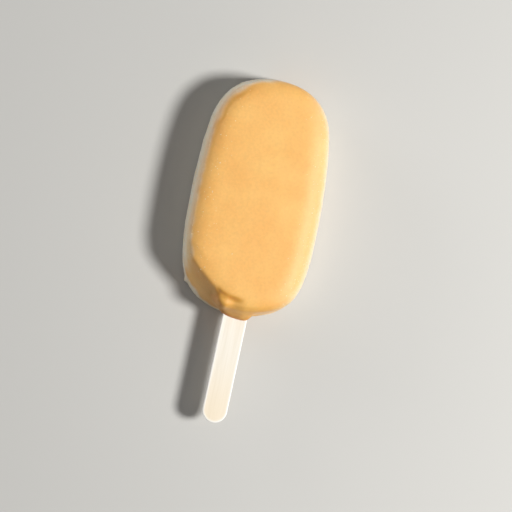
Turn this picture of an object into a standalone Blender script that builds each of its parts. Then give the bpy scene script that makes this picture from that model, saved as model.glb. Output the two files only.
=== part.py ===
# Ice pop: an ice cream bar in a smooth caramel coating, on a flat wooden stick.
# It lies on its flat underside, with the bar's rounded tip towards +Y and the
# stick's free end towards -Y. Metres, +Z up. The origin is under the middle of the
# whole pop, on the surface that it lies on.

import math

import bmesh
import bpy
import numpy as np

# Bar, measured over the coating
BAR_LENGTH = 0.0983
BAR_WIDTH = 0.0542
BAR_THICKNESS = 0.024

# Outline seen from above, for f from -1 at the stick's end to 1 at the tip:
# half width = BAR_WIDTH / 2 * (1 - SIDE_CURVE f^2 - SIDE_BULGE f^4)
#              * (1 - TAPER f) * sqrt(1 - |f| ^ END_SQUARENESS)
SIDE_CURVE = 0.15
SIDE_BULGE = 0.075
TAPER = 0.033
END_SQUARENESS = 7.7

# The section changes round the bar. Each list has eight values, for a wall that
# faces right (+X), the tip's right corner, the tip (+Y), its left corner, left,
# the stick end's left corner, the stick end (-Y) and its right corner.
# A wall leans in towards the top.
WALL_LEAN = (0.0022, 0.0028, 0.0026, 0.0020, 0.0010, 0.0020, 0.0023, 0.0014)
# The crest is tighter on the left and rolls off broadly on the right.
CREST_RADIUS = (0.0060, 0.0050, 0.0046, 0.0034, 0.0028, 0.0024, 0.0034, 0.0060)
# Inside the crest the top's shoulder is worn down softly, most at the tip's left.
SHOULDER_DROP = (0.0012, 0.0009, 0.0013, 0.0030, 0.0021, 0.0008, 0.0011, 0.0014)
SHOULDER_WIDTH = 0.0082
WALL_CURVE = 1.2
CREST_STEEPEST = math.radians(12)
DOME_RISE = 0.0008

# Facet: the corner at the stick's left leans far in, up to a nearly straight crest.
# It faces FACET_DIRECTION and its crest is FACET_OFFSET from the bar's middle. It
# ends beside the stick, between the two values of x.
FACET_DIRECTION = math.radians(232.5)
FACET_OFFSET = 0.0388
FACET_ENDS = (-0.0120, -0.0094)
FACET_CREST_RADIUS = 0.0016
FACET_SHOULDER_DROP = 0.0005
FACET_CREST = ((-0.0250, -0.0270), (-0.0094, -0.0404), (-0.0094, -0.0460))
FACET_ROUNDING = 0.0026
FACET_PASSES = 2

# Foot: the coating spread a little where the bar was set down
FOOT_UNDERCUT = 0.0022
FOOT_HEIGHT = 0.0016
FOOT_RIM = 0.0005
RIM_HEIGHT = 0.0034
RIM_ROUNDING = 0.4

# A small nib of coating stands out of the foot near the stick, on the left
NIB_PLACE = (-0.0229, -0.0388)
NIB_REACH = 0.0020
NIB_WIDTH = 0.0012

# Stick
STICK_LENGTH = 0.093
STICK_WIDTH = 0.010
STICK_THICKNESS = 0.002
STICK_EDGE = 0.0003
STICK_LEAN = math.radians(1.4)
STICK_END_BESIDE_BAR_AXIS = -0.00175
STICK_SHOWN = 0.0442
STICK_HEIGHT = BAR_THICKNESS / 2
SLOT_GAP = 0.0003

# Collar: the coating built up round the stick where it enters the bar. It reaches
# further out on the right, and its square corners soften above and below its lip.
COLLAR_REACH = 0.0029
COLLAR_HALF_WIDTH = 0.0066
COLLAR_LIP = 0.0013
COLLAR_SLOPE = 0.0080
COLLAR_CURVE = 1.2
COLLAR_CENTRE_X = -0.0009
COLLAR_SKEW = 35.0
COLLAR_SQUARENESS = 6.0
COLLAR_SOFTNESS = 2.2

# Step: between the facet and the stick the crest steps down outside the curve
# y = STEP_PLACE + STEP_BEND x^2. STEP_ENDS are where it starts, is whole, fades and
# ends along x, and it fades in by height over STEP_FOOT.
STEP_PLACE = -0.0424
STEP_BEND = 26.0
STEP_ENDS = (-0.0115, -0.0095, -0.0035, 0.0020)
STEP_FOOT = (0.012, 0.018)
STEP_DROP = 0.0009
STEP_WIDTH = 0.0020

# Hump: a soft oval lump on the step, pushed up and out
HUMP_CENTRE = (-0.0079, -0.0449)
HUMP_RADII = (0.0034, 0.0028)
HUMP_TURN = math.radians(-14)
HUMP_HEIGHT = 0.0011
HUMP_PUSH = (-0.2, -0.75, 0.8)
HUMP_FOOT = (0.008, 0.016)

# Mesh: columns round the bar, closer together at the stick's end
COLUMNS = 144
COLUMN_CROWDING = 0.55
FOOT_STEPS = 4
WALL_STEPS = 14
CREST_STEPS = 5
STICK_ROUND_STEPS = 16

# Rings across the top and the underside close onto a line along the bar's middle,
# SPINE_SHARE as long as the bar. Each ring is a share of the way there, and keeps
# every first, second, fourth or eighth column.
SPINE_SHARE = 0.45
TOP_RINGS = (
    (0.04, 1), (0.08, 1), (0.13, 1), (0.20, 1), (0.30, 1), (0.46, 2), (0.64, 4), (0.82, 8),
)
DETAILED_TOP_RINGS = 5
UNDERSIDE_RINGS = ((0.25, 2), (0.55, 4), (0.85, 8))

# The whole pop's length fixes where the bar's middle is
WHOLE_LENGTH = BAR_LENGTH + STICK_SHOWN
BAR_CENTRE_Y = WHOLE_LENGTH / 2 - BAR_LENGTH / 2


def linear_colour(hex_colour):
    """Turn an sRGB hex colour into linear RGBA."""
    levels = [int(hex_colour[i:i + 2], 16) / 255 for i in (1, 3, 5)]
    linear = [v / 12.92 if v <= 0.04045 else ((v + 0.055) / 1.055) ** 2.4 for v in levels]
    return (*linear, 1.0)


def make_material(name, hex_colour, roughness):
    """A plain Principled material with the part's colour."""
    material = bpy.data.materials.new(name)
    material.use_nodes = True
    shader = material.node_tree.nodes["Principled BSDF"]
    shader.inputs["Base Color"].default_value = linear_colour(hex_colour)
    shader.inputs["Roughness"].default_value = roughness
    shader.inputs["Metallic"].default_value = 0.0
    return material


def bar_outline():
    """The outline's points and outward normals, one for each column.

    Columns start at the stick's end and go round by the right side. Their
    spacing along the outline is smallest at the stick's end.
    """
    turn = np.linspace(-math.pi / 2, math.pi / 2, 1500)
    f = np.sin(turn)
    half_width = BAR_WIDTH / 2 * (1 - SIDE_CURVE * f ** 2 - SIDE_BULGE * f ** 4)
    half_width *= (1 - TAPER * f) * np.sqrt(1 - np.abs(f) ** END_SQUARENESS)
    right = np.stack([half_width, BAR_LENGTH / 2 * f], axis=1)
    left = right[-2::-1] * (-1, 1)
    curve = np.concatenate([right, left])

    steps = np.hypot(*np.diff(curve, axis=0).T)
    along = np.concatenate([[0], np.cumsum(steps)]) / steps.sum()
    column = np.arange(COLUMNS) / COLUMNS
    place = column - COLUMN_CROWDING * np.sin(2 * math.pi * column) / (2 * math.pi)
    points = np.stack([np.interp(place, along, curve[:, i]) for i in (0, 1)], axis=1)

    before = np.stack([np.interp((place - 1e-3) % 1, along, curve[:, i]) for i in (0, 1)], axis=1)
    after = np.stack([np.interp((place + 1e-3) % 1, along, curve[:, i]) for i in (0, 1)], axis=1)
    tangent = after - before
    normals = np.stack([tangent[:, 1], -tangent[:, 0]], axis=1)
    normals /= np.hypot(*normals.T)[:, None]
    return points, normals


def ease(low, high, value):
    """0 below low, 1 above high, and a smooth S between them."""
    share = np.clip((value - low) / (high - low), 0, 1)
    return share ** 2 * (3 - 2 * share)


def by_direction(values, normals):
    """Ease from one of the eight values to the next by which way each column faces."""
    turn = np.arctan2(normals[:, 1], normals[:, 0]) / (2 * math.pi) % 1 * len(values)
    lower = np.floor(turn).astype(int) % len(values)
    share = ease(0, 1, turn - np.floor(turn))
    values = np.array(values)
    return values[lower] * (1 - share) + values[(lower + 1) % len(values)] * share


def wall_shape(points, normals):
    """Each column's lean, crest radius and shoulder drop, with the facet worked in."""
    lean = by_direction(WALL_LEAN, normals)
    radius = by_direction(CREST_RADIUS, normals)
    worn = by_direction(SHOULDER_DROP, normals)
    direction = np.array((math.cos(FACET_DIRECTION), math.sin(FACET_DIRECTION)))
    square = normals @ direction
    reach = np.clip(points @ direction - FACET_OFFSET, 0, None) / np.maximum(square, 0.3)
    reach = np.where(square > 0.3, reach * (1 - ease(*FACET_ENDS, points[:, 0])), 0)
    flat = ease(0, 0.0015, reach - lean)
    lean = (lean ** 6 + reach ** 6) ** (1 / 6)
    radius = radius * (1 - flat) + FACET_CREST_RADIUS * flat
    worn = worn * (1 - flat) + FACET_SHOULDER_DROP * flat
    worn = sum(np.roll(worn, step) for step in range(-2, 3)) / 5
    return lean, radius, worn


def dome_drop(flat):
    """How far the top lies under its middle, at points seen from above."""
    across, along = flat[:, 0] / (BAR_WIDTH / 2), flat[:, 1] / (BAR_LENGTH / 2)
    return DOME_RISE * (1 - (1 - across ** 2) * (1 - along ** 2))


def outer_rows(points, normals, lean, radius, worn):
    """Rings from the underside's edge over the foot, wall and crest, lowest first."""
    crest_end = math.pi / 2 - np.arctan(3 * worn / SHOULDER_WIDTH)
    last_inset = lean + radius * (math.cos(CREST_STEEPEST) - np.cos(crest_end))
    crest_top = BAR_THICKNESS - dome_drop(points - normals * last_inset[:, None]) - worn
    crest_top += radius * (1 - np.sin(crest_end))
    wall_top = crest_top - radius * (1 - math.sin(CREST_STEEPEST))
    everywhere = np.ones(COLUMNS)
    rows = []

    for angle in np.linspace(0, math.pi / 2, FOOT_STEPS + 1):
        inset = FOOT_UNDERCUT * (1 - math.sin(angle)) * everywhere
        height = FOOT_HEIGHT * (1 - math.cos(angle)) * everywhere
        rows.append((inset, height))

    rim_height = FOOT_HEIGHT + (RIM_HEIGHT - FOOT_HEIGHT) * RIM_ROUNDING
    rows.append((FOOT_RIM * RIM_ROUNDING * everywhere, rim_height * everywhere))

    for share in np.linspace(0, 1, WALL_STEPS, endpoint=False):
        inset = FOOT_RIM + (lean - FOOT_RIM) * share ** WALL_CURVE
        height = RIM_HEIGHT + (wall_top - RIM_HEIGHT) * share
        rows.append((inset, height))

    for share in np.linspace(0, 1, CREST_STEPS + 1):
        angle = CREST_STEEPEST + (crest_end - CREST_STEEPEST) * share
        inset = lean + radius * (math.cos(CREST_STEEPEST) - np.cos(angle))
        height = crest_top - radius * (1 - np.sin(angle))
        rows.append((inset, height))

    return [np.column_stack([points - normals * inset[:, None], height]) for inset, height in rows]


def top_rows(crest, worn):
    """Rings of the domed top, from the crest inwards, each with the columns it keeps."""
    spine = crest[:, :2] * (0, SPINE_SHARE)
    rings = []
    for share, keep in TOP_RINGS:
        flat = crest[:, :2] * (1 - share) + spine * share
        gaps = np.linalg.norm(flat[:, None] - crest[None, :, :2], axis=2)
        drop = worn * np.clip(1 - gaps.min(axis=1) / SHOULDER_WIDTH, 0, 1) ** 3
        ring = np.column_stack([flat, BAR_THICKNESS - dome_drop(flat) - drop])
        rings.append(ring[::keep])
    return rings


def beside(flat, line):
    """The distance from points seen from above to a line through the given corners."""
    gap = np.full(len(flat), np.inf)
    for start, end in zip(np.array(line[:-1]), np.array(line[1:])):
        run = end - start
        share = np.clip((flat - start) @ run / (run @ run), 0, 1)
        away = flat - start - share[:, None] * run
        gap = np.minimum(gap, np.hypot(*away.T))
    return gap


def round_facet(rows):
    """Soften the facet's crest: move each point there to the average of its neighbours."""
    for _ in range(FACET_PASSES):
        averages = []
        for below, row, above in zip(rows, rows[1:], rows[2:]):
            average = (below + above + np.roll(row, 1, axis=0) + np.roll(row, -1, axis=0)) / 4
            near = np.exp(-(beside(row[:, :2], FACET_CREST) / FACET_ROUNDING) ** 4)
            near *= ease(0.004, 0.009, row[:, 2])
            averages.append(near[:, None] * (average - row))
        for row, change in zip(rows[1:], averages):
            row += change


def underside_rows(edge):
    """Rings of the flat underside, from the middle out to its edge."""
    spine = edge * (0, SPINE_SHARE, 1)
    rings = [(edge * (1 - share) + spine * share)[::keep] for share, keep in UNDERSIDE_RINGS]
    return rings[::-1]


def add_nib(rows):
    """Draw the foot's points out into the nib."""
    nib = np.array(NIB_PLACE)
    outward = nib / np.hypot(*nib)
    for row in rows:
        away = np.hypot(*(row[:, :2] - nib).T)
        low = np.clip(1 - row[:, 2] / RIM_HEIGHT, 0, 1)
        row[:, :2] += outward * (NIB_REACH * low * np.exp(-(away / NIB_WIDTH) ** 2))[:, None]


def add_collar(rows):
    """Draw the stick end's wall out round the stick."""
    for row in rows:
        at_end = row[:, 1] < -BAR_LENGTH / 3
        beside_centre = row[:, 0] - COLLAR_CENTRE_X
        beyond_lip = np.abs(row[:, 2] - STICK_HEIGHT) - COLLAR_LIP
        up = np.clip(1 - beyond_lip / COLLAR_SLOPE, 0, 1)
        squareness = COLLAR_SOFTNESS + (COLLAR_SQUARENESS - COLLAR_SOFTNESS) * up ** 2
        across = np.exp(-np.abs(beside_centre / COLLAR_HALF_WIDTH) ** squareness)
        reach = COLLAR_REACH * (1 + COLLAR_SKEW * beside_centre)
        row[:, 1] -= np.where(at_end, reach * across * up ** COLLAR_CURVE, 0)


def add_step(rows):
    """Lower the crest between the facet and the stick."""
    start, whole, fades, end = STEP_ENDS
    for row in rows:
        x, y, z = row.T
        outside = (STEP_PLACE + STEP_BEND * x ** 2 - y) / np.hypot(1, 2 * STEP_BEND * x)
        share = ease(start, whole, x) * (1 - ease(fades, end, x)) * ease(*STEP_FOOT, z)
        row[:, 2] -= STEP_DROP * share * ease(0, STEP_WIDTH, outside)


def add_hump(rows):
    """Raise the hump, up and out."""
    c, s = math.cos(HUMP_TURN), math.sin(HUMP_TURN)
    for row in rows:
        x, y = row[:, 0] - HUMP_CENTRE[0], row[:, 1] - HUMP_CENTRE[1]
        away = np.hypot((x * c + y * s) / HUMP_RADII[0], (y * c - x * s) / HUMP_RADII[1])
        rise = HUMP_HEIGHT * ease(*HUMP_FOOT, row[:, 2]) * np.exp(-away ** 3)
        row += np.array(HUMP_PUSH) * rise[:, None]


def add_ring(mesh, ring):
    """Put one closed loop of points into the mesh and return its edges."""
    verts = [mesh.verts.new(point) for point in ring]
    return [mesh.edges.new((a, b)) for a, b in zip(verts, verts[1:] + verts[:1])]


def close_ring(mesh, edges):
    """Fill the innermost ring with one face."""
    bmesh.ops.contextual_create(mesh, geom=edges)


def link_object(name, mesh, material):
    """Turn a bmesh into an object with smooth faces and its material."""
    data = bpy.data.meshes.new(name)
    bmesh.ops.recalc_face_normals(mesh, faces=mesh.faces)
    mesh.to_mesh(data)
    mesh.free()
    data.materials.append(material)
    data.shade_smooth()
    data.set_sharp_from_angle(angle=math.radians(35))
    obj = bpy.data.objects.new(name, data)
    bpy.context.scene.collection.objects.link(obj)
    return obj


def build_bar(material):
    """The coated bar: rings bridged from the underside's middle to the top's middle."""
    points, normals = bar_outline()
    lean, radius, worn = wall_shape(points, normals)
    outer = outer_rows(points, normals, lean, radius, worn)
    top = top_rows(outer[-1], worn)
    detailed = outer + top[:DETAILED_TOP_RINGS]
    round_facet(detailed)
    add_nib(outer)
    add_collar(outer)
    add_step(detailed)
    add_hump(detailed)

    mesh = bmesh.new()
    rings = [add_ring(mesh, ring) for ring in underside_rows(outer[0]) + outer + top]
    for lower, upper in zip(rings, rings[1:]):
        bmesh.ops.bridge_loops(mesh, edges=lower + upper)
    close_ring(mesh, rings[0])
    close_ring(mesh, rings[-1])
    bar = link_object("coated_bar", mesh, material)
    bar.location = (0, BAR_CENTRE_Y, 0)
    return bar


def flat_stick(name, length, width, thickness, edge, material):
    """A flat stick with round ends, along Y, with its outer end's tip at y = 0."""
    radius = width / 2
    angles = np.linspace(0, math.pi, STICK_ROUND_STEPS + 1)
    far = [(radius * math.cos(a), length - radius + radius * math.sin(a)) for a in angles]
    near = [(-radius * math.cos(a), radius - radius * math.sin(a)) for a in angles]
    mesh = bmesh.new()
    verts = [mesh.verts.new((x, y, -thickness / 2)) for x, y in far + near]
    face = mesh.faces.new(verts)
    extruded = bmesh.ops.extrude_face_region(mesh, geom=[face])
    moved = [item for item in extruded["geom"] if isinstance(item, bmesh.types.BMVert)]
    bmesh.ops.translate(mesh, verts=moved, vec=(0, 0, thickness))
    if edge:
        rims = [e for e in mesh.edges if abs(e.verts[0].co.z - e.verts[1].co.z) < 1e-7]
        bmesh.ops.bevel(mesh, geom=rims, offset=edge, segments=2, profile=0.5, affect="EDGES")
    return link_object(name, mesh, material)


def lay_stick(obj, end_gap):
    """Set a stick in the bar's middle height, leaning a little off the bar's axis."""
    lean = (math.sin(STICK_LEAN), math.cos(STICK_LEAN))
    obj.location = (
        STICK_END_BESIDE_BAR_AXIS - end_gap * lean[0],
        -WHOLE_LENGTH / 2 - end_gap * lean[1],
        STICK_HEIGHT,
    )
    obj.rotation_euler = (0, 0, -STICK_LEAN)


def build_stick(material):
    """The wooden stick, about half of it inside the bar."""
    stick = flat_stick("stick", STICK_LENGTH, STICK_WIDTH, STICK_THICKNESS, STICK_EDGE, material)
    lay_stick(stick, 0)
    return stick


def cut_slot(bar, material):
    """Cut the close slot that holds the stick, a gap wider than it all round."""
    cutter = flat_stick(
        "stick_slot_cutter",
        STICK_LENGTH + 2 * SLOT_GAP,
        STICK_WIDTH + 2 * SLOT_GAP,
        STICK_THICKNESS + 2 * SLOT_GAP,
        0,
        material,
    )
    lay_stick(cutter, SLOT_GAP)
    cutter.hide_render = True
    cutter.display_type = "WIRE"
    slot = bar.modifiers.new("stick slot", "BOOLEAN")
    slot.operation = "DIFFERENCE"
    slot.object = cutter


def main():
    for obj in list(bpy.data.objects):
        bpy.data.objects.remove(obj, do_unlink=True)
    coating = make_material("caramel coating", "#F2BD72", 0.5)
    birch = make_material("pale birch", "#F6EBDA", 0.6)
    bar = build_bar(coating)
    build_stick(birch)
    cut_slot(bar, birch)


main()
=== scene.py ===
import math

import bpy
import numpy as np
from mathutils import Matrix, Vector


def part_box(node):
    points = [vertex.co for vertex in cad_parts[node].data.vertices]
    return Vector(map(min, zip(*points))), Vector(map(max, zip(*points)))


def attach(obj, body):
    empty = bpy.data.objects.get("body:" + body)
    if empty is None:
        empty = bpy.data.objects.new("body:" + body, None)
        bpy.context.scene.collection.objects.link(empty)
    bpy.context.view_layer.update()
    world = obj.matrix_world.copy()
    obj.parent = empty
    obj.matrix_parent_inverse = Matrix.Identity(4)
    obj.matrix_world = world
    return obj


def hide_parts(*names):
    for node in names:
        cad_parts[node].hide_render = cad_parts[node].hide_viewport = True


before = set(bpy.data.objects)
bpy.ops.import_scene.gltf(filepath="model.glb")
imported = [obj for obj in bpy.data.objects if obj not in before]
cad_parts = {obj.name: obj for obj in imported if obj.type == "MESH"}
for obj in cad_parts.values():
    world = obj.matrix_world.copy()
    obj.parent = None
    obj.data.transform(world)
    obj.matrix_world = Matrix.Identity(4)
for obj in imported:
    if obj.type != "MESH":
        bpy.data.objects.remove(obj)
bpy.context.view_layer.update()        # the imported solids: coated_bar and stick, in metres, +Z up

mm = 0.001


# Colours, nodes and meshes

def linearColour(hexColour):
    # sRGB hex to linear: v / 12.92 below 0.04045, else ((v + 0.055) / 1.055) ^ 2.4
    levels = [int(hexColour[i:i + 2], 16) / 255 for i in (1, 3, 5)]
    return tuple(v / 12.92 if v <= 0.04045 else ((v + 0.055) / 1.055) ** 2.4 for v in levels) + (1.0,)


def addNode(tree, kind, settings=None, links=None):
    # settings name either a property or an input of the node; links feed inputs from sockets
    node = tree.nodes.new(kind)
    for key, value in (settings or {}).items():
        if isinstance(key, str) and hasattr(node, key):
            setattr(node, key, value)
        else:
            node.inputs[key].default_value = value
    for key, socket in (links or {}).items():
        tree.links.new(socket, node.inputs[key])
    return node


def newMaterial(name, shaderSettings):
    material = bpy.data.materials.new(name)
    material.use_nodes = True
    shader = material.node_tree.nodes["Principled BSDF"]
    for key, value in shaderSettings.items():
        shader.inputs[key].default_value = value
    return material, material.node_tree, shader


def newPiece(name, points, faces, material, attributes=None):
    # points in mm; the piece's place is in its mesh, so its object stays at the origin
    mesh = bpy.data.meshes.new(name)
    mesh.from_pydata((points * mm).tolist(), [], faces.tolist())
    mesh.materials.append(material)
    for key, values in (attributes or {}).items():
        mesh.attributes.new(key, "FLOAT", "POINT").data.foreach_set("value", values.astype(np.float32))
    mesh.update()
    mesh.shade_smooth()
    piece = bpy.data.objects.new(name, mesh)
    bpy.context.scene.collection.objects.link(piece)
    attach(piece, "root")
    print(f"{name}: {len(mesh.polygons)} faces")
    return piece


def ringFaces(rows, columns, partner):
    # quads between neighbouring rings; the first and the last ring are folded onto a line, and
    # partner gives for each of their points the one that it is joined with
    number = np.arange(rows * columns).reshape(rows, columns)
    number[0] = number[0, partner]
    number[-1] = number[-1, partner]
    right = np.roll(number, -1, axis=1)
    return np.stack([number[:-1], right[:-1], right[1:], number[1:]], axis=-1).reshape(-1, 4)


def ripples(points, size, seed):
    # the sum of 28 waves in random directions, about size mm long, with an average height of 1
    waves = 28
    draw = np.random.default_rng(seed)
    heading = draw.normal(size=(waves, 3))
    heading /= np.linalg.norm(heading, axis=1)[:, None]
    length = size * draw.uniform(0.7, 1.6, waves)
    phase = draw.uniform(0, 2 * np.pi, waves)
    total = np.zeros(points.shape[:-1])
    for k in range(waves):
        total += np.cos(points @ heading[k] * (2 * np.pi / length[k]) + phase[k])
    return total * np.sqrt(2 / waves)


def easeStep(low, high, value):
    # 0 below low, 1 above high, 3 t^2 - 2 t^3 between
    t = np.clip((value - low) / (high - low), 0, 1)
    return t * t * (3 - 2 * t)


# The coated bar. Lists of eight go round it by the way that the wall faces: right (+X),
# the tip's right corner, the tip (+Y), its left corner, left, the stick end's left
# corner, the stick end (-Y) and its right corner. Lengths are in mm, and places are from the
# bar's middle, with heights from the floor.
bar = {
    # the outline and the whole form
    "length": 98.3,
    "width": 54.2,
    "thickness": 24.0,
    "sideCurve": 0.15,
    "sideBulge": 0.075,
    "taper": 0.033,
    "endSquareness": 7.7,
    # the walls, the crest over them, the top and the foot
    "wallLean": (2.2, 2.8, 2.6, 2.0, 1.0, 2.0, 2.3, 1.4),
    "crestRadius": (6.0, 5.0, 4.6, 3.4, 2.8, 2.4, 3.4, 6.0),
    "shoulderDrop": (1.2, 0.9, 1.3, 3.0, 2.1, 0.8, 1.1, 1.4),
    "shoulderWidth": 8.2,
    "wallCurve": 1.2,
    "crestSteepest": math.radians(12),
    "domeRise": 0.8,
    "footUndercut": 2.2,
    "footHeight": 1.6,
    "footRim": 0.5,
    "rimHeight": 3.4,
    # the facet at the stick end's left corner
    "facetFaces": math.radians(232.5),
    "facetLeastSquare": 0.3,
    "facetOffset": 38.8,
    "facetWave": 0.25,
    "facetWaveLength": 19.0,
    "facetWaveStart": -18.0,
    "facetMostLean": 20.0,
    "facetBlend": 1.5,
    "facetEnds": (-12.0, -9.4),
    "facetCrest": 1.6,
    "facetDrop": 0.5,
    "facetCorners": ((-25.0, -27.0), (-9.4, -40.4), (-9.4, -46.0)),
    "facetRounding": 2.6,
    "facetRoundedFrom": (4.0, 9.0),
    "facetPasses": 130,
    # the nib at the left foot
    "nibPlace": (-22.9, -38.8),
    "nibReach": 2.0,
    "nibWidth": 1.2,
    "nibStart": (0.0, 0.8),
    # the collar of coating round the stick
    "collarReach": 2.9,
    "collarHalfWidth": 6.6,
    "collarLip": 1.3,
    "collarSlope": 8.0,
    "collarCurve": 1.2,
    "collarCentre": -0.9,
    "collarSkew": 0.035,
    "collarSquareness": 6.0,
    "collarSoftness": 2.2,
    # the step down between the facet and the stick, its groove, and the hump on it
    "stepPlace": -42.4,
    "stepBend": 0.026,
    "stepEnds": (-11.5, -9.5, -3.5, 2.0),
    "stepFoot": (12.0, 18.0),
    "stepDrop": 0.9,
    "stepWidth": 2.0,
    "grooveDepth": 0.35,
    "grooveWidth": 0.8,
    "humpCentre": (-7.9, -44.9),
    "humpRadius": (3.4, 2.8),
    "humpTurn": math.radians(-14),
    "humpHeight": 1.1,
    "humpPush": (-0.2, -0.75, 0.8),
    "humpFoot": (8.0, 16.0),
    # the puckers beside the stick
    "crinklePlace": (6.0, -48.8, 12.5),
    "crinkleReach": (1.6, 2.4, 2.2),
    "crinkleRuns": (0.85, 0.35, 0.4),
    "crinkleSize": 1.1,
    "crinkleHeight": 0.07,
    # the mesh: rings from the underside's middle line, round the bar, to the top's middle line
    "spineShare": 0.45,
    "columns": 600,
    "crowding": 0.55,
    "footRows": 8,
    "wallRows": 44,
    "crestRows": 16,
    "topRows": 52,
    "undersideRows": 10,
    "topSpacing": 1.15,
}
bar["stickHeight"] = bar["thickness"] / 2
bar["centreY"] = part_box("coated_bar")[1].y / mm - bar["length"] / 2
# the solid's own box, from the bar's middle; the top is 0.1 mm lower, so its swells fit in
boxLow, boxHigh = (np.array(corner) / mm - (0, bar["centreY"], 0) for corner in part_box("coated_bar"))
bar["topHeight"] = boxHigh[2] - 0.1


def barOutline():
    # f runs from -1 at the stick's end to 1 at the tip: half width = width / 2
    # * (1 - sideCurve f^2 - sideBulge f^4) * (1 - taper f) * sqrt(1 - |f|^endSquareness).
    # Columns start at the stick's end, go round by the right, and crowd at the start.
    f = np.sin(np.linspace(-np.pi / 2, np.pi / 2, 4000))
    halfWidth = bar["width"] / 2 * (1 - bar["sideCurve"] * f ** 2 - bar["sideBulge"] * f ** 4)
    halfWidth *= (1 - bar["taper"] * f) * np.sqrt(1 - np.abs(f) ** bar["endSquareness"])
    right = np.stack([halfWidth, bar["length"] / 2 * f], axis=1)
    curve = np.concatenate([right, right[-2::-1] * (-1, 1)])
    along = np.concatenate([[0], np.cumsum(np.hypot(*np.diff(curve, axis=0).T))])
    along /= along[-1]
    column = np.arange(bar["columns"]) / bar["columns"]
    place = column - bar["crowding"] * np.sin(2 * np.pi * column) / (2 * np.pi)

    def at(share):
        return np.stack([np.interp(share % 1, along, curve[:, i]) for i in (0, 1)], axis=1)

    tangent = at(place + 1e-3) - at(place - 1e-3)
    normals = np.stack([tangent[:, 1], -tangent[:, 0]], axis=1)
    return at(place), normals / np.hypot(*normals.T)[:, None]


def byDirection(values, normals):
    # eases from one of the eight values to the next by the way that each column faces
    turn = np.arctan2(normals[:, 1], normals[:, 0]) / (2 * np.pi) % 1 * 8
    lower = np.floor(turn).astype(int) % 8
    ease = easeStep(0, 1, turn - np.floor(turn))
    values = np.array(values)
    return values[lower] * (1 - ease) + values[(lower + 1) % 8] * ease


def addFacet(outline, normals, lean, radius, worn):
    # the wall leans up to a straight crest, facetOffset from the middle: distance to that
    # line along the normal = (p . facing - offset) / (n . facing), smoothly the larger of
    # this and the wall's own lean
    facing = np.array((math.cos(bar["facetFaces"]), math.sin(bar["facetFaces"])))
    square = normals @ facing
    wave = np.cos((outline[:, 0] - bar["facetWaveStart"]) * 2 * np.pi / bar["facetWaveLength"])
    offset = bar["facetOffset"] + bar["facetWave"] * wave
    reach = (outline @ facing - offset) / np.maximum(square, bar["facetLeastSquare"])
    reach = np.clip(reach, 0, bar["facetMostLean"]) * (square > bar["facetLeastSquare"])
    reach = reach * (1 - easeStep(*bar["facetEnds"], outline[:, 0]))
    flat = easeStep(0, bar["facetBlend"], reach - lean)
    lean = (lean ** 6 + reach ** 6) ** (1 / 6)
    radius = radius * (1 - flat) + bar["facetCrest"] * flat
    worn = worn * (1 - flat) + bar["facetDrop"] * flat
    return lean[None, :], radius[None, :], worn[None, :]


def domeDrop(x, y):
    # how far the top lies under its middle: domeRise (1 - (1 - u^2)(1 - v^2)), u and v from -1 to 1
    u, v = x / (bar["width"] / 2), y / (bar["length"] / 2)
    return bar["domeRise"] * (1 - (1 - u ** 2) * (1 - v ** 2))


def barSection(outline, normals):
    # inset from the outline and height, row by row from the underside's edge to the crest:
    # a quarter ellipse, a wall whose inset grows as share^wallCurve, and an arc
    lean, radius, worn = addFacet(
        outline, normals, byDirection(bar["wallLean"], normals),
        byDirection(bar["crestRadius"], normals), byDirection(bar["shoulderDrop"], normals))
    # the shoulder's drop is averaged over 17 columns, three times, so it changes softly
    for _ in range(3):
        worn = sum(np.roll(worn, step, axis=1) for step in range(-8, 9)) / 17
    steepest = bar["crestSteepest"]
    crestEnd = np.pi / 2 - np.arctan(3 * worn / bar["shoulderWidth"])
    lastInset = lean + radius * (math.cos(steepest) - np.cos(crestEnd))
    ring = outline - normals * lastInset.T
    crestTop = bar["topHeight"] - domeDrop(ring[:, 0], ring[:, 1]) - worn + radius * (1 - np.sin(crestEnd))
    wallTop = crestTop - radius * (1 - math.sin(steepest))

    # 0 * lean widens these to a column for each point of the outline
    turn = np.linspace(0, np.pi / 2, bar["footRows"], endpoint=False)[:, None]
    footInset = bar["footUndercut"] * (1 - np.sin(turn)) + 0 * lean
    footHeight = bar["footHeight"] * (1 - np.cos(turn)) + 0 * lean

    share = np.linspace(0, 1, bar["wallRows"], endpoint=False)[:, None]
    wallHeight = bar["footHeight"] + (wallTop - bar["footHeight"]) * share
    above = np.clip((wallHeight - bar["rimHeight"]) / (wallTop - bar["rimHeight"]), 0, 1)
    wallInset = bar["footRim"] * easeStep(bar["footHeight"], bar["rimHeight"], wallHeight)
    wallInset = wallInset + (lean - bar["footRim"]) * above ** bar["wallCurve"]

    angle = steepest + (crestEnd - steepest) * np.linspace(0, 1, bar["crestRows"])[:, None]
    crestInset = lean + radius * (math.cos(steepest) - np.cos(angle))
    crestHeight = crestTop - radius * (1 - np.sin(angle))
    inset = np.concatenate([footInset, wallInset, crestInset])
    height = np.concatenate([footHeight, wallHeight, crestHeight])
    return inset, height, worn


def closeToSpine(edge, shares):
    # rings that move from an edge ring to a line along the bar's middle
    share = shares[:, None, None]
    spine = edge * (0, bar["spineShare"], 1)
    return edge * (1 - share) + spine * share


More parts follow.
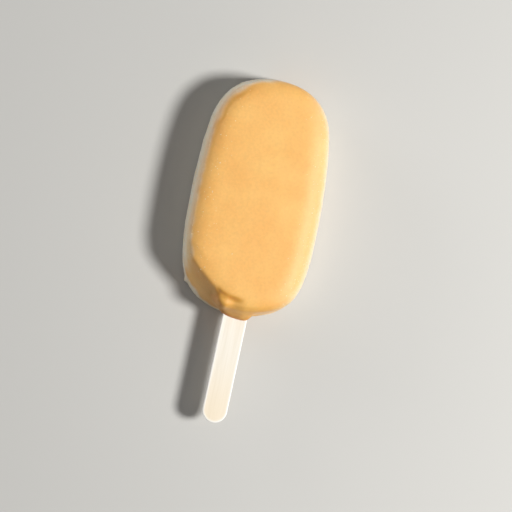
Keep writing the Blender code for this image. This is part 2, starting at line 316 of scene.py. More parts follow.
def barSurface():
    outline, normals = barOutline()
    inset, height, worn = barSection(outline, normals)
    outer = np.empty(inset.shape + (3,))
    outer[..., :2] = outline - normals * inset[..., None]
    outer[..., 2] = height

    # the top: topHeight - dome - worn (1 - d / shoulderWidth)^3, d the distance from the crest
    top = closeToSpine(outer[-1], (np.arange(1, bar["topRows"] + 1) / bar["topRows"]) ** bar["topSpacing"])
    ring = outer[-1, :, :2]
    inward = np.stack([
        np.sqrt(np.min(np.sum((row[:, None, :2] - ring[None]) ** 2, axis=-1), axis=1)) for row in top])
    shoulder = worn * np.clip(1 - inward / bar["shoulderWidth"], 0, 1) ** 3
    top[..., 2] = bar["topHeight"] - domeDrop(top[..., 0], top[..., 1]) - shoulder

    share = np.arange(bar["undersideRows"], 0, -1) / bar["undersideRows"]
    underside = closeToSpine(outer[0], share)
    fromEdge = np.concatenate([np.zeros(underside.shape[:2]), inset, inset[-1] + inward])
    return np.concatenate([underside, outer, top]), normals, fromEdge


def surfaceNormals(points):
    # the cross product of the steps along the two ways of the grid
    across = np.roll(points, -1, axis=1) - np.roll(points, 1, axis=1)
    up = np.gradient(points, axis=0)
    facing = np.cross(across, up)
    length = np.linalg.norm(facing, axis=-1, keepdims=True)
    return np.where(length > 1e-9, facing / np.maximum(length, 1e-9), (0, 0, 1))


def addNib(points):
    # outward reach * exp(-(away / nibWidth)^2), most at the foot and none over the rim
    nib = np.array(bar["nibPlace"])
    away = np.hypot(points[..., 0] - nib[0], points[..., 1] - nib[1])
    low = np.clip(1 - points[..., 2] / bar["rimHeight"], 0, 1) * easeStep(*bar["nibStart"], points[..., 2])
    reach = bar["nibReach"] * low * np.exp(-(away / bar["nibWidth"]) ** 2)
    points[..., :2] += nib / np.hypot(*nib) * reach[..., None]


def addCollar(points):
    # outward reach * exp(-|x / collarHalfWidth|^squareness) * up^collarCurve at the stick's end
    atEnd = points[..., 1] < -bar["length"] / 3
    beyondLip = np.abs(points[..., 2] - bar["stickHeight"]) - bar["collarLip"]
    up = np.clip(1 - beyondLip / bar["collarSlope"], 0, 1)
    # the collar is square-cornered at the lip and rounds off above and below it
    squareness = bar["collarSoftness"] + (bar["collarSquareness"] - bar["collarSoftness"]) * up ** 2
    across = np.exp(-np.abs((points[..., 0] - bar["collarCentre"]) / bar["collarHalfWidth"]) ** squareness)
    reach = bar["collarReach"] * (1 + bar["collarSkew"] * (points[..., 0] - bar["collarCentre"]))
    points[..., 1] -= np.where(atEnd, reach * across * up ** bar["collarCurve"], 0)


def beside(points, line):
    # distance in plan from each point to a line through the given corners
    gap = np.full(points.shape[:-1], np.inf)
    for start, end in zip(np.array(line[:-1]), np.array(line[1:])):
        share = np.clip((points[..., :2] - start) @ (end - start) / ((end - start) @ (end - start)), 0, 1)
        away = points[..., :2] - start - share[..., None] * (end - start)
        gap = np.minimum(gap, np.hypot(away[..., 0], away[..., 1]))
    return gap


def roundFacet(points):
    # each point moves to the average of its neighbours, over and over, near the facet's crest
    near = np.exp(-(beside(points, bar["facetCorners"]) / bar["facetRounding"]) ** 4)
    near = (near * easeStep(*bar["facetRoundedFrom"], points[..., 2]))[1:-1, :, None]
    for _ in range(bar["facetPasses"]):
        across = np.roll(points, 1, axis=1) + np.roll(points, -1, axis=1)
        average = (across[1:-1] + points[2:] + points[:-2]) / 4
        points[1:-1] += near * (average - points[1:-1])


def stepLine(points):
    # how far each point is outside the line y = stepPlace + stepBend x^2, and how much of the
    # step there is at its x
    x, y = points[..., 0], points[..., 1]
    outside = (bar["stepPlace"] + bar["stepBend"] * x ** 2 - y) / np.hypot(1, 2 * bar["stepBend"] * x)
    start, full, fade, end = bar["stepEnds"]
    share = easeStep(start, full, x) * (1 - easeStep(fade, end, x))
    return outside, share * easeStep(*bar["stepFoot"], points[..., 2])


def addHump(points):
    # between the facet and the stick the crest steps down past a soft groove
    outside, share = stepLine(points)
    groove = bar["grooveDepth"] * np.exp(-((outside - bar["grooveWidth"]) / bar["grooveWidth"]) ** 2)
    drop = (bar["stepDrop"] * easeStep(0, bar["stepWidth"], outside) + groove) * share
    # and an oval lump stands on the step: height * exp(-r^3), r = 1 at its radii
    c, s = math.cos(bar["humpTurn"]), math.sin(bar["humpTurn"])
    x, y = points[..., 0] - bar["humpCentre"][0], points[..., 1] - bar["humpCentre"][1]
    long, short = (x * c + y * s) / bar["humpRadius"][0], (y * c - x * s) / bar["humpRadius"][1]
    rise = bar["humpHeight"] * np.exp(-np.hypot(long, short) ** 3)
    rise = rise * easeStep(*bar["humpFoot"], points[..., 2])
    points[..., 2] -= drop
    points += np.array(bar["humpPush"]) * rise[..., None]


def addCrinkles(points):
    # the coating is puckered where it meets the stick's right side: a wave in an oval window
    offset = points - np.array(bar["crinklePlace"])
    window = np.exp(-np.sum((offset / bar["crinkleReach"]) ** 2, axis=-1))
    wave = np.cos((offset @ np.array(bar["crinkleRuns"])) * 2 * np.pi / bar["crinkleSize"])
    points[..., 1] -= bar["crinkleHeight"] * window * wave


# Frost on the coating: amounts from 0 to 1, pairs that something eases in or out between, and
# lengths in mm. The sides are told apart by the way that the wall faces, in degrees from +X.
frosting = {
    # the left side, from the tip to the facet; its edge is in shares of its reach
    "left": 1.0,
    "leftStart": (86, 104),
    "leftEnd": (186, 208),
    "leftReach": (3.0, 3.0, 3.8, 4.1, 2.5, 3.0, 3.0, 3.0),
    "leftEdge": (0.4, 1.15),
    "leftThins": 0.55,
    "thinsAbove": 3.0,
    "thinsFrom": (120, 165),
    # the right side, thin over the shoulder and thicker on the wall
    "right": 0.24,
    "rightWall": 0.45,
    "rightWallTurned": (0.25, 0.9),
    "rightEnds": (35, 75),
    "rightReach": 10.0,
    # the foot all round; its edge is in shares of its top
    "foot": (0.7, 0.5, 0.4, 0.8, 0.9, 0.95, 0.6, 0.85),
    "footTop": (2.6, 3.0, 3.5, 3.5, 3.5, 8.0, 3.0, 2.6),
    "footStart": (0.4, 1.4),
    "footEdge": (0.4, 1.0),
    "patchSize": 6.0,
    "wander": 0.22,
    # crystals over the shoulders of both sides
    "dusting": 0.3,
    "dustingSides": (40, 80),
    "dustingStart": (3, 5),
    "dustingEnd": (9, 15),
}


def frostOn(points, normals, fromEdge, facing):
    # frost lies on the walls and thins out up them and in over the shoulder: from the tip round
    # the left side, and a wide thin one on the right; its edge wanders, and it is patchy
    height = points[..., 2]
    turn = np.degrees(np.arctan2(normals[:, 1], normals[:, 0])) % 360
    onLeft = easeStep(*frosting["leftStart"], turn) * (1 - easeStep(*frosting["leftEnd"], turn))
    onRight = 1 - easeStep(*frosting["rightEnds"], np.minimum(turn, 360 - turn))
    wander = frosting["wander"] * ripples(points, frosting["patchSize"], 7)
    inReach = (fromEdge + wander) / byDirection(frosting["leftReach"], normals)
    frost = frosting["left"] * onLeft * (1 - easeStep(*frosting["leftEdge"], inReach))
    thinned = easeStep(frosting["thinsAbove"], bar["topHeight"], height)
    frost *= 1 - frosting["leftThins"] * thinned * easeStep(*frosting["thinsFrom"], turn)
    fade = easeStep(0, 1, fromEdge / frosting["rightReach"])
    steep = 1 - easeStep(*frosting["rightWallTurned"], facing[..., 2])
    frost += onRight * (frosting["right"] * (1 - fade) + frosting["rightWall"] * steep)
    footTop = byDirection(frosting["footTop"], normals)
    low = 1 - easeStep(*frosting["footEdge"], (height + 2 * wander) / footTop)
    low *= easeStep(*frosting["footStart"], height)
    frost = np.maximum(frost, byDirection(frosting["foot"], normals)[None, :] * low)
    # crystals are strewn where there is frost, and thinly over the shoulders of both sides
    shoulder = easeStep(*frosting["dustingStart"], fromEdge)
    shoulder = shoulder * (1 - easeStep(*frosting["dustingEnd"], fromEdge)) * (height > bar["stickHeight"])
    onSides = 1 - easeStep(*frosting["dustingSides"], np.abs((turn + 90) % 180 - 90))
    dusting = frost + frosting["dusting"] * shoulder * onSides
    return frost, dusting, inReach, turn


# Painted shade: the colour is darkened where shade falls, and a reddish lip round the stick is partly the
# coating's own rim and partly painted contact shadow. Each place's amount, 0 to 1, and where it is, in mm.
# Turned is how squarely the surface faces that way, and the frost's edge is in shares of its
# reach and in degrees.
lipAndPaintedShading = {
    # the lip round the stick: partly its own reddish rim, partly painted contact shadow
    "lip": 0.85,
    "lipDepth": 3.0,
    "lipHalfWidth": 5.0,
    "lipHalfHeight": 1.0,
    "lipReach": (0.2, 2.6),
    "lipWander": 0.35,
    "lipPatch": 3.0,
    # painted shade on the facet, which faces away from the key light
    "facet": 0.25,
    "facetTurned": (0.5, 0.8),
    "facetLeft": (6, 12),
    "facetFoot": (8, 16),
    # painted shade on the side facing the stick end
    "front": 0.32,
    "frontTurned": (0.2, 0.7),
    "frontFoot": (3, 7),
    "frontStart": (-11, -8),
    # painted shade in the groove above the hump
    "crease": 0.5,
    "creasePlace": 0.9,
    "creaseWidth": 1.3,
    # painted shade beside the hump's left flank
    "besideHump": 0.6,
    "besideHumpPlace": (-10.8, -44.0, 16.0),
    "besideHumpReach": (3.0, 3.0, 7.0),
    # painted shade dulling the hump
    "onHump": 0.22,
    "onHumpPlace": (-7.6, -45.6, 20.0),
    "onHumpReach": (3.0, 2.4, 4.0),
    # painted shade along the crest inside the frost's edge
    "frostEdge": 0.4,
    "frostEdgePlace": 1.3,
    "frostEdgeWidth": 0.25,
    "frostEdgeStart": (100, 150),
    "frostEdgeEnd": (165, 185),
}


def within(points, name):
    # an oval window round a place: exp(-r^2), r = 1 at its reach
    offset = (points - np.array(lipAndPaintedShading[name + "Place"])) / lipAndPaintedShading[name + "Reach"]
    return np.exp(-np.sum(offset ** 2, axis=-1))


def lipAndPaintedShadeOn(points, facing, creased, inReach, turn):
    # painted shade: the colour is darkened on the facet, on the side facing the stick end, in the groove,
    # beside and on the hump and along the frost's edge, where shade falls, and most in the lip round the
    # stick, which is partly its own rim colour and partly painted contact shadow
    x, y, z = np.moveaxis(points, -1, 0)
    fromStick = np.hypot(np.clip(np.abs(x - bar["collarCentre"]) - lipAndPaintedShading["lipHalfWidth"], 0, None),
                         np.clip(np.abs(z - bar["stickHeight"]) - lipAndPaintedShading["lipHalfHeight"], 0, None))
    fromStick = fromStick + lipAndPaintedShading["lipWander"] * ripples(points, lipAndPaintedShading["lipPatch"], 9)
    lip = 1 - easeStep(*lipAndPaintedShading["lipReach"], fromStick)
    lip = lip * (y < -bar["length"] / 2 + lipAndPaintedShading["lipDepth"])
    toFacet = facing[..., 0] * math.cos(bar["facetFaces"]) + facing[..., 1] * math.sin(bar["facetFaces"])
    facet = easeStep(*lipAndPaintedShading["facetTurned"], toFacet) * easeStep(*lipAndPaintedShading["facetFoot"], z)
    front = easeStep(*lipAndPaintedShading["frontTurned"], -facing[..., 1]) * easeStep(*lipAndPaintedShading["frontFoot"], z)
    outside, share = creased
    onLeft = easeStep(*lipAndPaintedShading["frostEdgeStart"], turn) * (1 - easeStep(*lipAndPaintedShading["frostEdgeEnd"], turn))
    fromFrostEdge = (inReach - lipAndPaintedShading["frostEdgePlace"]) / lipAndPaintedShading["frostEdgeWidth"]
    shares = {
        "lip": lip,
        "facet": facet * easeStep(*lipAndPaintedShading["facetLeft"], -x),
        "front": front * easeStep(*lipAndPaintedShading["frontStart"], x),
        "crease": share * np.exp(-((outside - lipAndPaintedShading["creasePlace"]) / lipAndPaintedShading["creaseWidth"]) ** 2),
        "besideHump": within(points, "besideHump"),
        "onHump": within(points, "onHump"),
        "frostEdge": onLeft * np.exp(-fromFrostEdge ** 2),
    }
    return np.clip(sum(lipAndPaintedShading[name] * amount for name, amount in shares.items()), 0, 1)


# How the coating's surface swells: sizes and heights in mm
coatingRelief = {
    "swellSize": 30.0,
    "swellHeight": 0.06,
    "peelSize": 3.2,
    "peelHeight": 0.008,
    "grainSize": 1.2,
    "grainHeight": 0.035,
    "footSize": 7.0,
    "footHeight": 0.05,
    "footSunk": 0.6,
    "footStart": (0.3, 1.4),
    "footEnd": (2.0, 5.0),
    "flatUnder": (0.0, 1.2),
}


def addRelief(points, facing, frost):
    # long swells, a skin, grain where there is frost, and an uneven foot, along the normal
    relief, z = coatingRelief, points[..., 2]
    height = relief["swellHeight"] * ripples(points, relief["swellSize"], 3)
    height += relief["peelHeight"] * ripples(points, relief["peelSize"], 4)
    height += relief["grainHeight"] * ripples(points, relief["grainSize"], 5) * np.clip(frost, 0, 1)
    nearFoot = (1 - easeStep(*relief["footEnd"], z)) * easeStep(*relief["footStart"], z)
    height += relief["footHeight"] * (ripples(points, relief["footSize"], 6) - relief["footSunk"]) * nearFoot
    points += facing * (height * easeStep(*relief["flatUnder"], z))[..., None]


def barPiece(material):
    points, normals, fromEdge = barSurface()
    roundFacet(points)
    addNib(points)
    addCollar(points)
    creased = stepLine(points)
    addHump(points)
    addCrinkles(points)
    facing = surfaceNormals(points)
    frost, dusting, inReach, turn = frostOn(points, normals, fromEdge, facing)
    # painted shade and the lip's colour, kept as a point attribute for the material
    lipAndPaintedShade = lipAndPaintedShadeOn(points, facing, creased, inReach, turn)
    addRelief(points, facing, frost)
    points = np.clip(points, boxLow, boxHigh)

    rows, columns = points.shape[:2]
    partner = np.minimum(np.arange(columns), (columns - np.arange(columns)) % columns)
    used, faces = np.unique(ringFaces(rows, columns, partner), return_inverse=True)
    placed = points.reshape(-1, 3)[used] + (0, bar["centreY"], 0)
    attributes = {"frost": frost.reshape(-1)[used], "lipAndPaintedShade": lipAndPaintedShade.reshape(-1)[used]}
    piece = newPiece("glazedBar", placed, faces.reshape(-1, 4), material, attributes)
    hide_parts("coated_bar")
    return points, facing, dusting


# Frost grains: small crystals on the coating. Places on the top and sizes are in mm.
grains = {
    "onTop": (
        (-21.0, 20.4), (18.5, -34.3), (19.4, -30.9), (17.1, -37.8), (21.1, -1.3), (21.1, -3.3),
        (-7.7, -25.6), (-19.9, -2.5), (-21.3, -1.1), (-22.0, -6.1), (-19.6, 6.5), (-19.2, 9.0),
        (-12.4, -37.0), (-17.3, -32.7), (-18.7, -33.8), (-24.8, -20.8), (-25.1, -17.2),
    ),
    "onTopSize": (0.22, 0.34),
    "topAbove": 15.0,
    "strewn": 1300,
    "strewnSize": (0.10, 0.24),
    "strewnAbove": 2.0,
    "leastDusting": 0.08,
    "stretch": (0.7, 1.2),
    "sunk": 0.35,
    "seed": 8,
}


def icosahedron():
    # 12 corners at distance 1, the rolled (0, +-1, +-golden), and the 20 sides between nearest ones
    golden = (1 + 5 ** 0.5) / 2
    corners = np.array([(0, a, b * golden) for a in (-1, 1) for b in (-1, 1)])
    corners = np.concatenate([np.roll(corners, k, axis=1) for k in range(3)]) / math.hypot(1, golden)
    gaps = np.linalg.norm(corners[:, None] - corners[None], axis=-1)
    near = (gaps > 0.1) & (gaps < 1.2)
    sides = np.array([(i, j, k) for i in range(12) for j in range(i + 1, 12) for k in range(j + 1, 12)
                      if near[i, j] and near[j, k] and near[i, k]])
    # a side whose corners run clockwise from outside is turned over
    first, second, third = (corners[sides[:, k]] for k in range(3))
    inside = np.sum(np.cross(second - first, third - first) * (first + second + third), axis=1) < 0
    sides[inside] = sides[inside][:, ::-1]
    return corners, sides


def grainPiece(points, facing, dusting, material):
    # each grain is a 20-sided crystal, turned at random and sunk into the surface
    draw = np.random.default_rng(grains["seed"])
    spots = points.reshape(-1, 3)
    wanted = np.array(grains["onTop"])
    gap = np.hypot(spots[:, 0, None] - wanted[:, 0], spots[:, 1, None] - wanted[:, 1])
    gap[spots[:, 2] < grains["topAbove"]] = np.inf
    onTop = np.argmin(gap, axis=0)
    # the others are strewn by how dusted the surface is, over its area
    weight = np.clip(dusting.reshape(-1) - grains["leastDusting"], 0, None)
    weight *= spots[:, 2] > grains["strewnAbove"]
    across, up = np.roll(points, -1, axis=1) - points, np.gradient(points, axis=0)
    weight *= np.linalg.norm(np.cross(across, up), axis=-1).reshape(-1)
    strewn = draw.choice(len(spots), grains["strewn"], replace=False, p=weight / np.sum(weight))
    size = np.concatenate([
        draw.uniform(*grains["onTopSize"], len(onTop)), draw.uniform(*grains["strewnSize"], len(strewn))])
    chosen = np.concatenate([onTop, strewn])

    corners, sides = icosahedron()
    turns, _ = np.linalg.qr(draw.normal(size=(len(chosen), 3, 3)))
    turns *= np.sign(np.linalg.det(turns))[:, None, None]
    shapes = (corners * draw.uniform(*grains["stretch"], (len(chosen), 1, 3))) @ turns
    placed = spots[chosen] - facing.reshape(-1, 3)[chosen] * (grains["sunk"] * size)[:, None]
    placed = (placed[:, None] + shapes * size[:, None, None]).reshape(-1, 3)
    placed = np.clip(placed, boxLow, boxHigh) + (0, bar["centreY"], 0)
    faces = sides[None] + len(corners) * np.arange(len(chosen))[:, None, None]
    piece = newPiece("frostGrains", placed, faces.reshape(-1, 3), material)
    piece.data.shade_flat()


# The stick: a birch strip with round ends, eased edges and sawn grain. In mm.
stick = {
    "length": 93.0,
    "width": 10.0,
    "thickness": 2.0,
    "edge": 0.35,
    "lean": math.radians(1.4),
    "endX": -1.75,
    "endY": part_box("stick")[0].y / mm,
    "columns": 220,
    "edgeRows": 8,
    "faceRows": 16,
    "fibreSize": 0.9,
    "fibreHeight": 0.012,
    # width of the painted highlight along the stick's edges
    "edgeHighlightReach": 0.65,
    "creamReach": (0.0, 34.0),
}


def stickPiece(material):
    # the outline is a stadium: run is the way from the outer end along either side, over a
    # quarter circle, the straight part and another quarter. Each section is two quarter
    # circles of the edge radius, and the flat faces close onto a line along the middle.
    radius = stick["width"] / 2
    straight = stick["length"] - 2 * radius
    around = 2 * straight + 2 * np.pi * radius
    place = (np.arange(stick["columns"]) + 0.5) / stick["columns"] * around
    quarter = np.pi * radius / 2
    side = np.where(place < around / 2, 1, -1)
    run = np.where(side > 0, place, around - place)
    turn = np.clip(run / radius, 0, np.pi / 2)
    turnFar = np.clip((run - quarter - straight) / radius, 0, np.pi / 2)
    onSide = np.clip(run - quarter, 0, straight)
    angle = -np.pi / 2 + turn + turnFar
    normals = np.stack([side * np.cos(angle), np.sin(angle)], axis=1)
    outline = np.stack([0 * onSide, radius + onSide], axis=1) + normals * radius

    edge, half = stick["edge"], stick["thickness"] / 2
    bend = np.linspace(0, np.pi / 2, stick["edgeRows"])
    inset = np.concatenate([edge * (1 - np.sin(bend)), edge * (1 - np.cos(bend))])
    height = np.concatenate([-half + edge * (1 - np.cos(bend)), half - edge * (1 - np.sin(bend))])
    rim = np.empty((len(inset), stick["columns"], 3))
    rim[..., :2] = outline - normals * inset[:, None, None]
    rim[..., 2] = height[:, None]
    share = np.linspace(0, 1, stick["faceRows"] + 1)[1:, None, None]
    middle = rim[-1] * (0, 1, 1)
    middle[:, 1] = np.clip(middle[:, 1], radius, stick["length"] - radius)
    topFace = rim[-1] * (1 - share) + middle * share
    underFace = (topFace * (1, 1, -1))[::-1]
    points = np.concatenate([underFace, rim, topFace])

    # fibres run along the stick, and its faces sink between them: ripples that are stretched
    # 20 times in length
    grain = ripples(points * (1, 1 / 20, 1), stick["fibreSize"], 11)
    points[..., 2] *= 1 - np.abs(grain) * stick["fibreHeight"]

    # how near each point is to the outline, and how near to the outer end
    beyondStraight = points[..., 1] - np.clip(points[..., 1], radius, stick["length"] - radius)
    fromOutline = radius - np.hypot(points[..., 0], beyondStraight)
    # painted highlight: a near-white band along the outline, eased out over this width
    edgeHighlightShare = np.exp(-(fromOutline / stick["edgeHighlightReach"]) ** 2)
    outerShare = 1 - easeStep(*stick["creamReach"], points[..., 1])

    rows, columns = points.shape[:2]
    partner = np.minimum(np.arange(columns), columns - 1 - np.arange(columns))
    used, faces = np.unique(ringFaces(rows, columns, partner), return_inverse=True)
    points = points.reshape(-1, 3)[used]
    c, s = math.cos(stick["lean"]), math.sin(stick["lean"])
    turned = points @ np.array(((c, -s, 0), (s, c, 0), (0, 0, 1)))
    placed = turned + (stick["endX"], stick["endY"], bar["stickHeight"])
    attributes = {"edge": edgeHighlightShare.reshape(-1)[used], "outer": outerShare.reshape(-1)[used]}
    piece = newPiece("birchStick", placed, faces.reshape(-1, 4), material, attributes)
    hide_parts("stick")


# Materials

def caramelMaterial():
    # White-chocolate caramel coating, set from a dip: satin, with a soft broad sheen
    # and a little light passing under the surface.
    material, tree, shader = newMaterial("caramelCouverture", {
        "Roughness": 0.52,
        "IOR": 1.46,
        "Subsurface Weight": 0.10,
        "Subsurface Scale": 0.002,
        "Subsurface Radius": (1.0, 0.55, 0.25),
        "Sheen Weight": 0.12,
        "Sheen Roughness": 0.4,
        "Sheen Tint": linearColour("#F4F2EA"),
    })
    place = addNode(tree, "ShaderNodeTexCoord").outputs["Object"]
    # cloudy patches about 14 mm across, and mottling about 1.1 mm across
    cloud = addNode(tree, "ShaderNodeTexNoise", {"Scale": 70.0, "Detail": 2.0}, {"Vector": place})
    mottle = addNode(tree, "ShaderNodeTexNoise", {"Scale": 900.0, "Detail": 3.0}, {"Vector": place})
    patches = addNode(tree, "ShaderNodeValToRGB", {}, {"Fac": cloud.outputs["Fac"]})
    patches.color_ramp.elements[0].position = 0.35
    patches.color_ramp.elements[0].color = linearColour("#F2B767")
    patches.color_ramp.elements[1].position = 0.68
    patches.color_ramp.elements[1].color = linearColour("#F6C171")
    shade = addNode(tree, "ShaderNodeMapRange", {
        "From Min": 0.25, "From Max": 0.75, "To Min": 0.9, "To Max": 1.0,
    }, {"Value": mottle.outputs["Fac"]})
    fleck = addNode(tree, "ShaderNodeMix", {"data_type": "RGBA", "blend_type": "MULTIPLY", 0: 1.0}, {
        6: patches.outputs["Color"], 7: shade.outputs["Result"]})
    # frost is cloudy, in patches about 4 mm across, and gritty, with grains of about 0.6 mm
    frost = addNode(tree, "ShaderNodeAttribute", {"attribute_name": "frost"})
    clouds = addNode(tree, "ShaderNodeTexNoise", {
        "Scale": 250.0, "Detail": 5.0, "Roughness": 0.75}, {"Vector": place})
    broken = addNode(tree, "ShaderNodeMapRange", {
        "From Min": 0.3, "From Max": 0.7, "To Min": 0.65, "To Max": 1.15,
    }, {"Value": clouds.outputs["Fac"]})
    grit = addNode(tree, "ShaderNodeTexNoise", {"Scale": 1600.0, "Detail": 1.0}, {"Vector": place})
    gritty = addNode(tree, "ShaderNodeMapRange", {
        "From Min": 0.35, "From Max": 0.65, "To Min": 0.86, "To Max": 1.1,
    }, {"Value": grit.outputs["Fac"]})
    patchy = addNode(tree, "ShaderNodeMath", {"operation": "MULTIPLY"}, {
        0: frost.outputs["Fac"], 1: broken.outputs["Result"]})
    amount = addNode(tree, "ShaderNodeMath", {"operation": "MULTIPLY"}, {
        0: patchy.outputs["Value"], 1: gritty.outputs["Result"]})
    colour = addNode(tree, "ShaderNodeMix", {"data_type": "RGBA", 7: linearColour("#EEECE0")}, {
        0: amount.outputs["Value"], 6: fleck.outputs[2]})
    # painted shade: where this mask is high the colour goes golden brown, and reddish in the lip round the
    # stick, which is partly its own rim colour and partly painted contact shadow
    lipAndPaintedShade = addNode(tree, "ShaderNodeAttribute", {"attribute_name": "lipAndPaintedShade"})
    tint = addNode(tree, "ShaderNodeValToRGB", {}, {"Fac": lipAndPaintedShade.outputs["Fac"]})
    tint.color_ramp.elements[0].color = linearColour("#FFFFFF")
    tint.color_ramp.elements[1].color = linearColour("#DCC4AE")
    tint.color_ramp.elements.new(0.5).color = linearColour("#E8DEB4")
    tinted = addNode(tree, "ShaderNodeMix", {"data_type": "RGBA", "blend_type": "MULTIPLY", 0: 1.0}, {
        6: colour.outputs[2], 7: tint.outputs["Color"]})
    # and within the painted shade and the lip it has warmer spots about 2 mm across
    spots = addNode(tree, "ShaderNodeTexNoise", {"Scale": 450.0, "Detail": 2.0}, {"Vector": place})
    spotty = addNode(tree, "ShaderNodeMapRange", {
        "From Min": 0.5, "From Max": 0.64, "To Max": 0.7}, {"Value": spots.outputs["Fac"]})
    warmth = addNode(tree, "ShaderNodeMath", {"operation": "MULTIPLY"}, {
        0: lipAndPaintedShade.outputs["Fac"], 1: spotty.outputs["Result"]})
    warmed = addNode(tree, "ShaderNodeMix", {
        "data_type": "RGBA", "blend_type": "MULTIPLY", 7: linearColour("#F8D6A8"),
    }, {0: warmth.outputs["Value"], 6: tinted.outputs[2]})
    tree.links.new(warmed.outputs[2], shader.inputs["Base Color"])
    # frost is rougher than the bare coating
    rough = addNode(tree, "ShaderNodeMapRange", {
        "To Min": 0.52, "To Max": 0.68}, {"Value": amount.outputs["Value"]})
    tree.links.new(rough.outputs["Result"], shader.inputs["Roughness"])
    # a faint skin texture 0.5 mm across over the whole coating
    fine = addNode(tree, "ShaderNodeTexNoise", {"Scale": 2000.0, "Detail": 2.0}, {"Vector": place})
    bump = addNode(tree, "ShaderNodeBump", {
        "Strength": 0.12, "Distance": 0.00004}, {"Height": fine.outputs["Fac"]})
    tree.links.new(bump.outputs["Normal"], shader.inputs["Normal"])
    return material


def frostMaterial():
    # Ice and sugar crystals on the coating, cloudy and pale
    material, _, _ = newMaterial("frostCrystal", {
        "Base Color": linearColour("#F4DEB4"), "Roughness": 0.35, "IOR": 1.31, "Subsurface Weight": 0.2,
        "Subsurface Scale": 0.0005})
    return material


def birchMaterial():
    # Birch veneer, cut, sanded and bare: nearly white, with faint long fibres and pores.
    material, tree, shader = newMaterial("sandedBirch", {
        "Roughness": 0.6, "IOR": 1.5, "Specular IOR Level": 0.35})
    place = addNode(tree, "ShaderNodeTexCoord").outputs["Object"]
    straight = addNode(tree, "ShaderNodeMapping", {
        "vector_type": "TEXTURE",
        "Rotation": (0, 0, -stick["lean"]),
        "Scale": (1.0, 25.0, 1.0),
    }, {"Vector": place})
    # fibres about 0.7 mm apart and 20 mm long, growth bands about 4 mm apart
    along = straight.outputs["Vector"]
    fibres = addNode(tree, "ShaderNodeTexNoise", {"Scale": 1400.0, "Detail": 3.0}, {"Vector": along})
    bands = addNode(tree, "ShaderNodeTexNoise", {"Scale": 260.0, "Detail": 1.0}, {"Vector": along})
    mixed = addNode(tree, "ShaderNodeMath", {"operation": "MULTIPLY_ADD", 1: 0.5}, {
        0: fibres.outputs["Fac"], 2: bands.outputs["Fac"]})
    tone = addNode(tree, "ShaderNodeValToRGB", {}, {"Fac": mixed.outputs["Value"]})
    tone.color_ramp.elements[0].position = 0.5
    tone.color_ramp.elements[0].color = linearColour("#E6DFD1")
    tone.color_ramp.elements[1].position = 0.95
    tone.color_ramp.elements[1].color = linearColour("#F0EBE2")
    # creamier towards the outer end, and a painted highlight, near white, along the edges
    outer = addNode(tree, "ShaderNodeAttribute", {"attribute_name": "outer"})
    cream = addNode(tree, "ShaderNodeMix", {
        "data_type": "RGBA", "blend_type": "MULTIPLY", 7: linearColour("#FFF7EA"),
    }, {0: outer.outputs["Fac"], 6: tone.outputs["Color"]})
    edge = addNode(tree, "ShaderNodeAttribute", {"attribute_name": "edge"})
    worn = addNode(tree, "ShaderNodeMix", {"data_type": "RGBA", 7: linearColour("#FAFAF8")}, {
        0: edge.outputs["Fac"], 6: cream.outputs[2]})
    tree.links.new(worn.outputs[2], shader.inputs["Base Color"])
    bump = addNode(tree, "ShaderNodeBump", {
        "Strength": 0.25, "Distance": 0.00005}, {"Height": fibres.outputs["Fac"]})
    tree.links.new(bump.outputs["Normal"], shader.inputs["Normal"])
    return material


def floorMaterial():
    # matt paper sweep
    material, _, _ = newMaterial("matPaper", {"Base Color": linearColour("#C6C6C5"), "Roughness": 0.9})
    return material


# The camera stands off the bar's left and stick end, as in the photograph. Its place and
# aim are in mm from the floor under the bar's middle.
camera = {
    "place": (-66.93, -48.61, 707.1),
    "aim": (3.06, -24.13, 12.0),
    "roll": math.radians(10.834),
    "focalPixels": 1726.7,
    "imagePixels": 512,
    "sensor": 36.0,
}


def addCamera():
    centre = Vector((0, bar["centreY"], 0))
    place = (Vector(camera["place"]) + centre) * mm
    forward = ((Vector(camera["aim"]) + centre) * mm - place).normalized()
    level = forward.cross(Vector((0, 1, 0))).normalized()
    upright = level.cross(forward)
    c, s = math.cos(camera["roll"]), math.sin(camera["roll"])
    right, up = level * c + upright * s, upright * c - level * s
    data = bpy.data.cameras.new("camera")
    data.sensor_width = camera["sensor"]
    data.lens = camera["sensor"] * camera["focalPixels"] / camera["imagePixels"]
    data.clip_start = 0.01
    obj = bpy.data.objects.new("camera", data)
    obj.matrix_world = Matrix((right, up, -forward)).transposed().to_4x4()
    obj.location = place
    bpy.context.scene.collection.objects.link(obj)
    bpy.context.scene.camera = obj
    return right


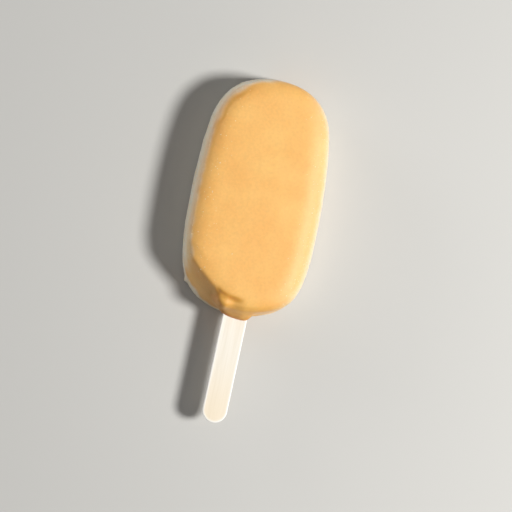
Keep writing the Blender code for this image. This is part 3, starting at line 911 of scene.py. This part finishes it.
# Lights: where each comes from, as degrees from the picture's right and above the floor,
# its distance and size in metres, and its power in watts
lights = {
    "key": {"turn": -13, "height": 51, "distance": 1.0, "size": 0.22, "power": 11.7, "colour": "#FFFDF8"},
    "leftFill": {"turn": 143, "height": 6, "distance": 0.9, "size": 0.5, "power": 3.3, "colour": "#FDFAF4"},
    "lowFill": {"turn": -55, "height": 22, "distance": 0.9, "size": 0.6, "power": 0.7, "colour": "#FFF8EE"},
}
worldLight = {"colour": "#F8F8F8", "strength": 0.16}


def addLights(right):
    middle = Vector((0, bar["centreY"] * mm, 0.012))
    for name, light in lights.items():
        turn, height = math.radians(light["turn"]), math.radians(light["height"])
        flatRight = Vector((right.x, right.y, 0)).normalized()
        flatUp = Vector((-flatRight.y, flatRight.x, 0))
        toLight = (flatRight * math.cos(turn) + flatUp * math.sin(turn)) * math.cos(height)
        toLight += Vector((0, 0, math.sin(height)))
        data = bpy.data.lights.new(name, "AREA")
        data.shape = "DISK"
        data.size = light["size"]
        data.energy = light["power"]
        data.color = linearColour(light["colour"])[:3]
        obj = bpy.data.objects.new(name, data)
        obj.location = middle + toLight * light["distance"]
        obj.rotation_euler = toLight.to_track_quat("Z", "Y").to_euler()
        bpy.context.scene.collection.objects.link(obj)
    world = bpy.data.worlds.new("softLight")
    world.use_nodes = True
    background = world.node_tree.nodes["Background"]
    background.inputs["Color"].default_value = linearColour(worldLight["colour"])
    background.inputs["Strength"].default_value = worldLight["strength"]
    bpy.context.scene.world = world


def addFloor():
    # a square of 3 m
    half = 1.5
    mesh = bpy.data.meshes.new("floor")
    corners = [(-half, -half, 0), (half, -half, 0), (half, half, 0), (-half, half, 0)]
    mesh.from_pydata(corners, [], [(0, 1, 2, 3)])
    mesh.materials.append(floorMaterial())
    floor = bpy.data.objects.new("floor", mesh)
    bpy.context.scene.collection.objects.link(floor)


bpy.context.scene.view_settings.view_transform = "Standard"
addFloor()
addLights(addCamera())
print("floor, camera and lights are in place")
surface = barPiece(caramelMaterial())
grainPiece(*surface, frostMaterial())
stickPiece(birchMaterial())
print("bar and stick are in place")
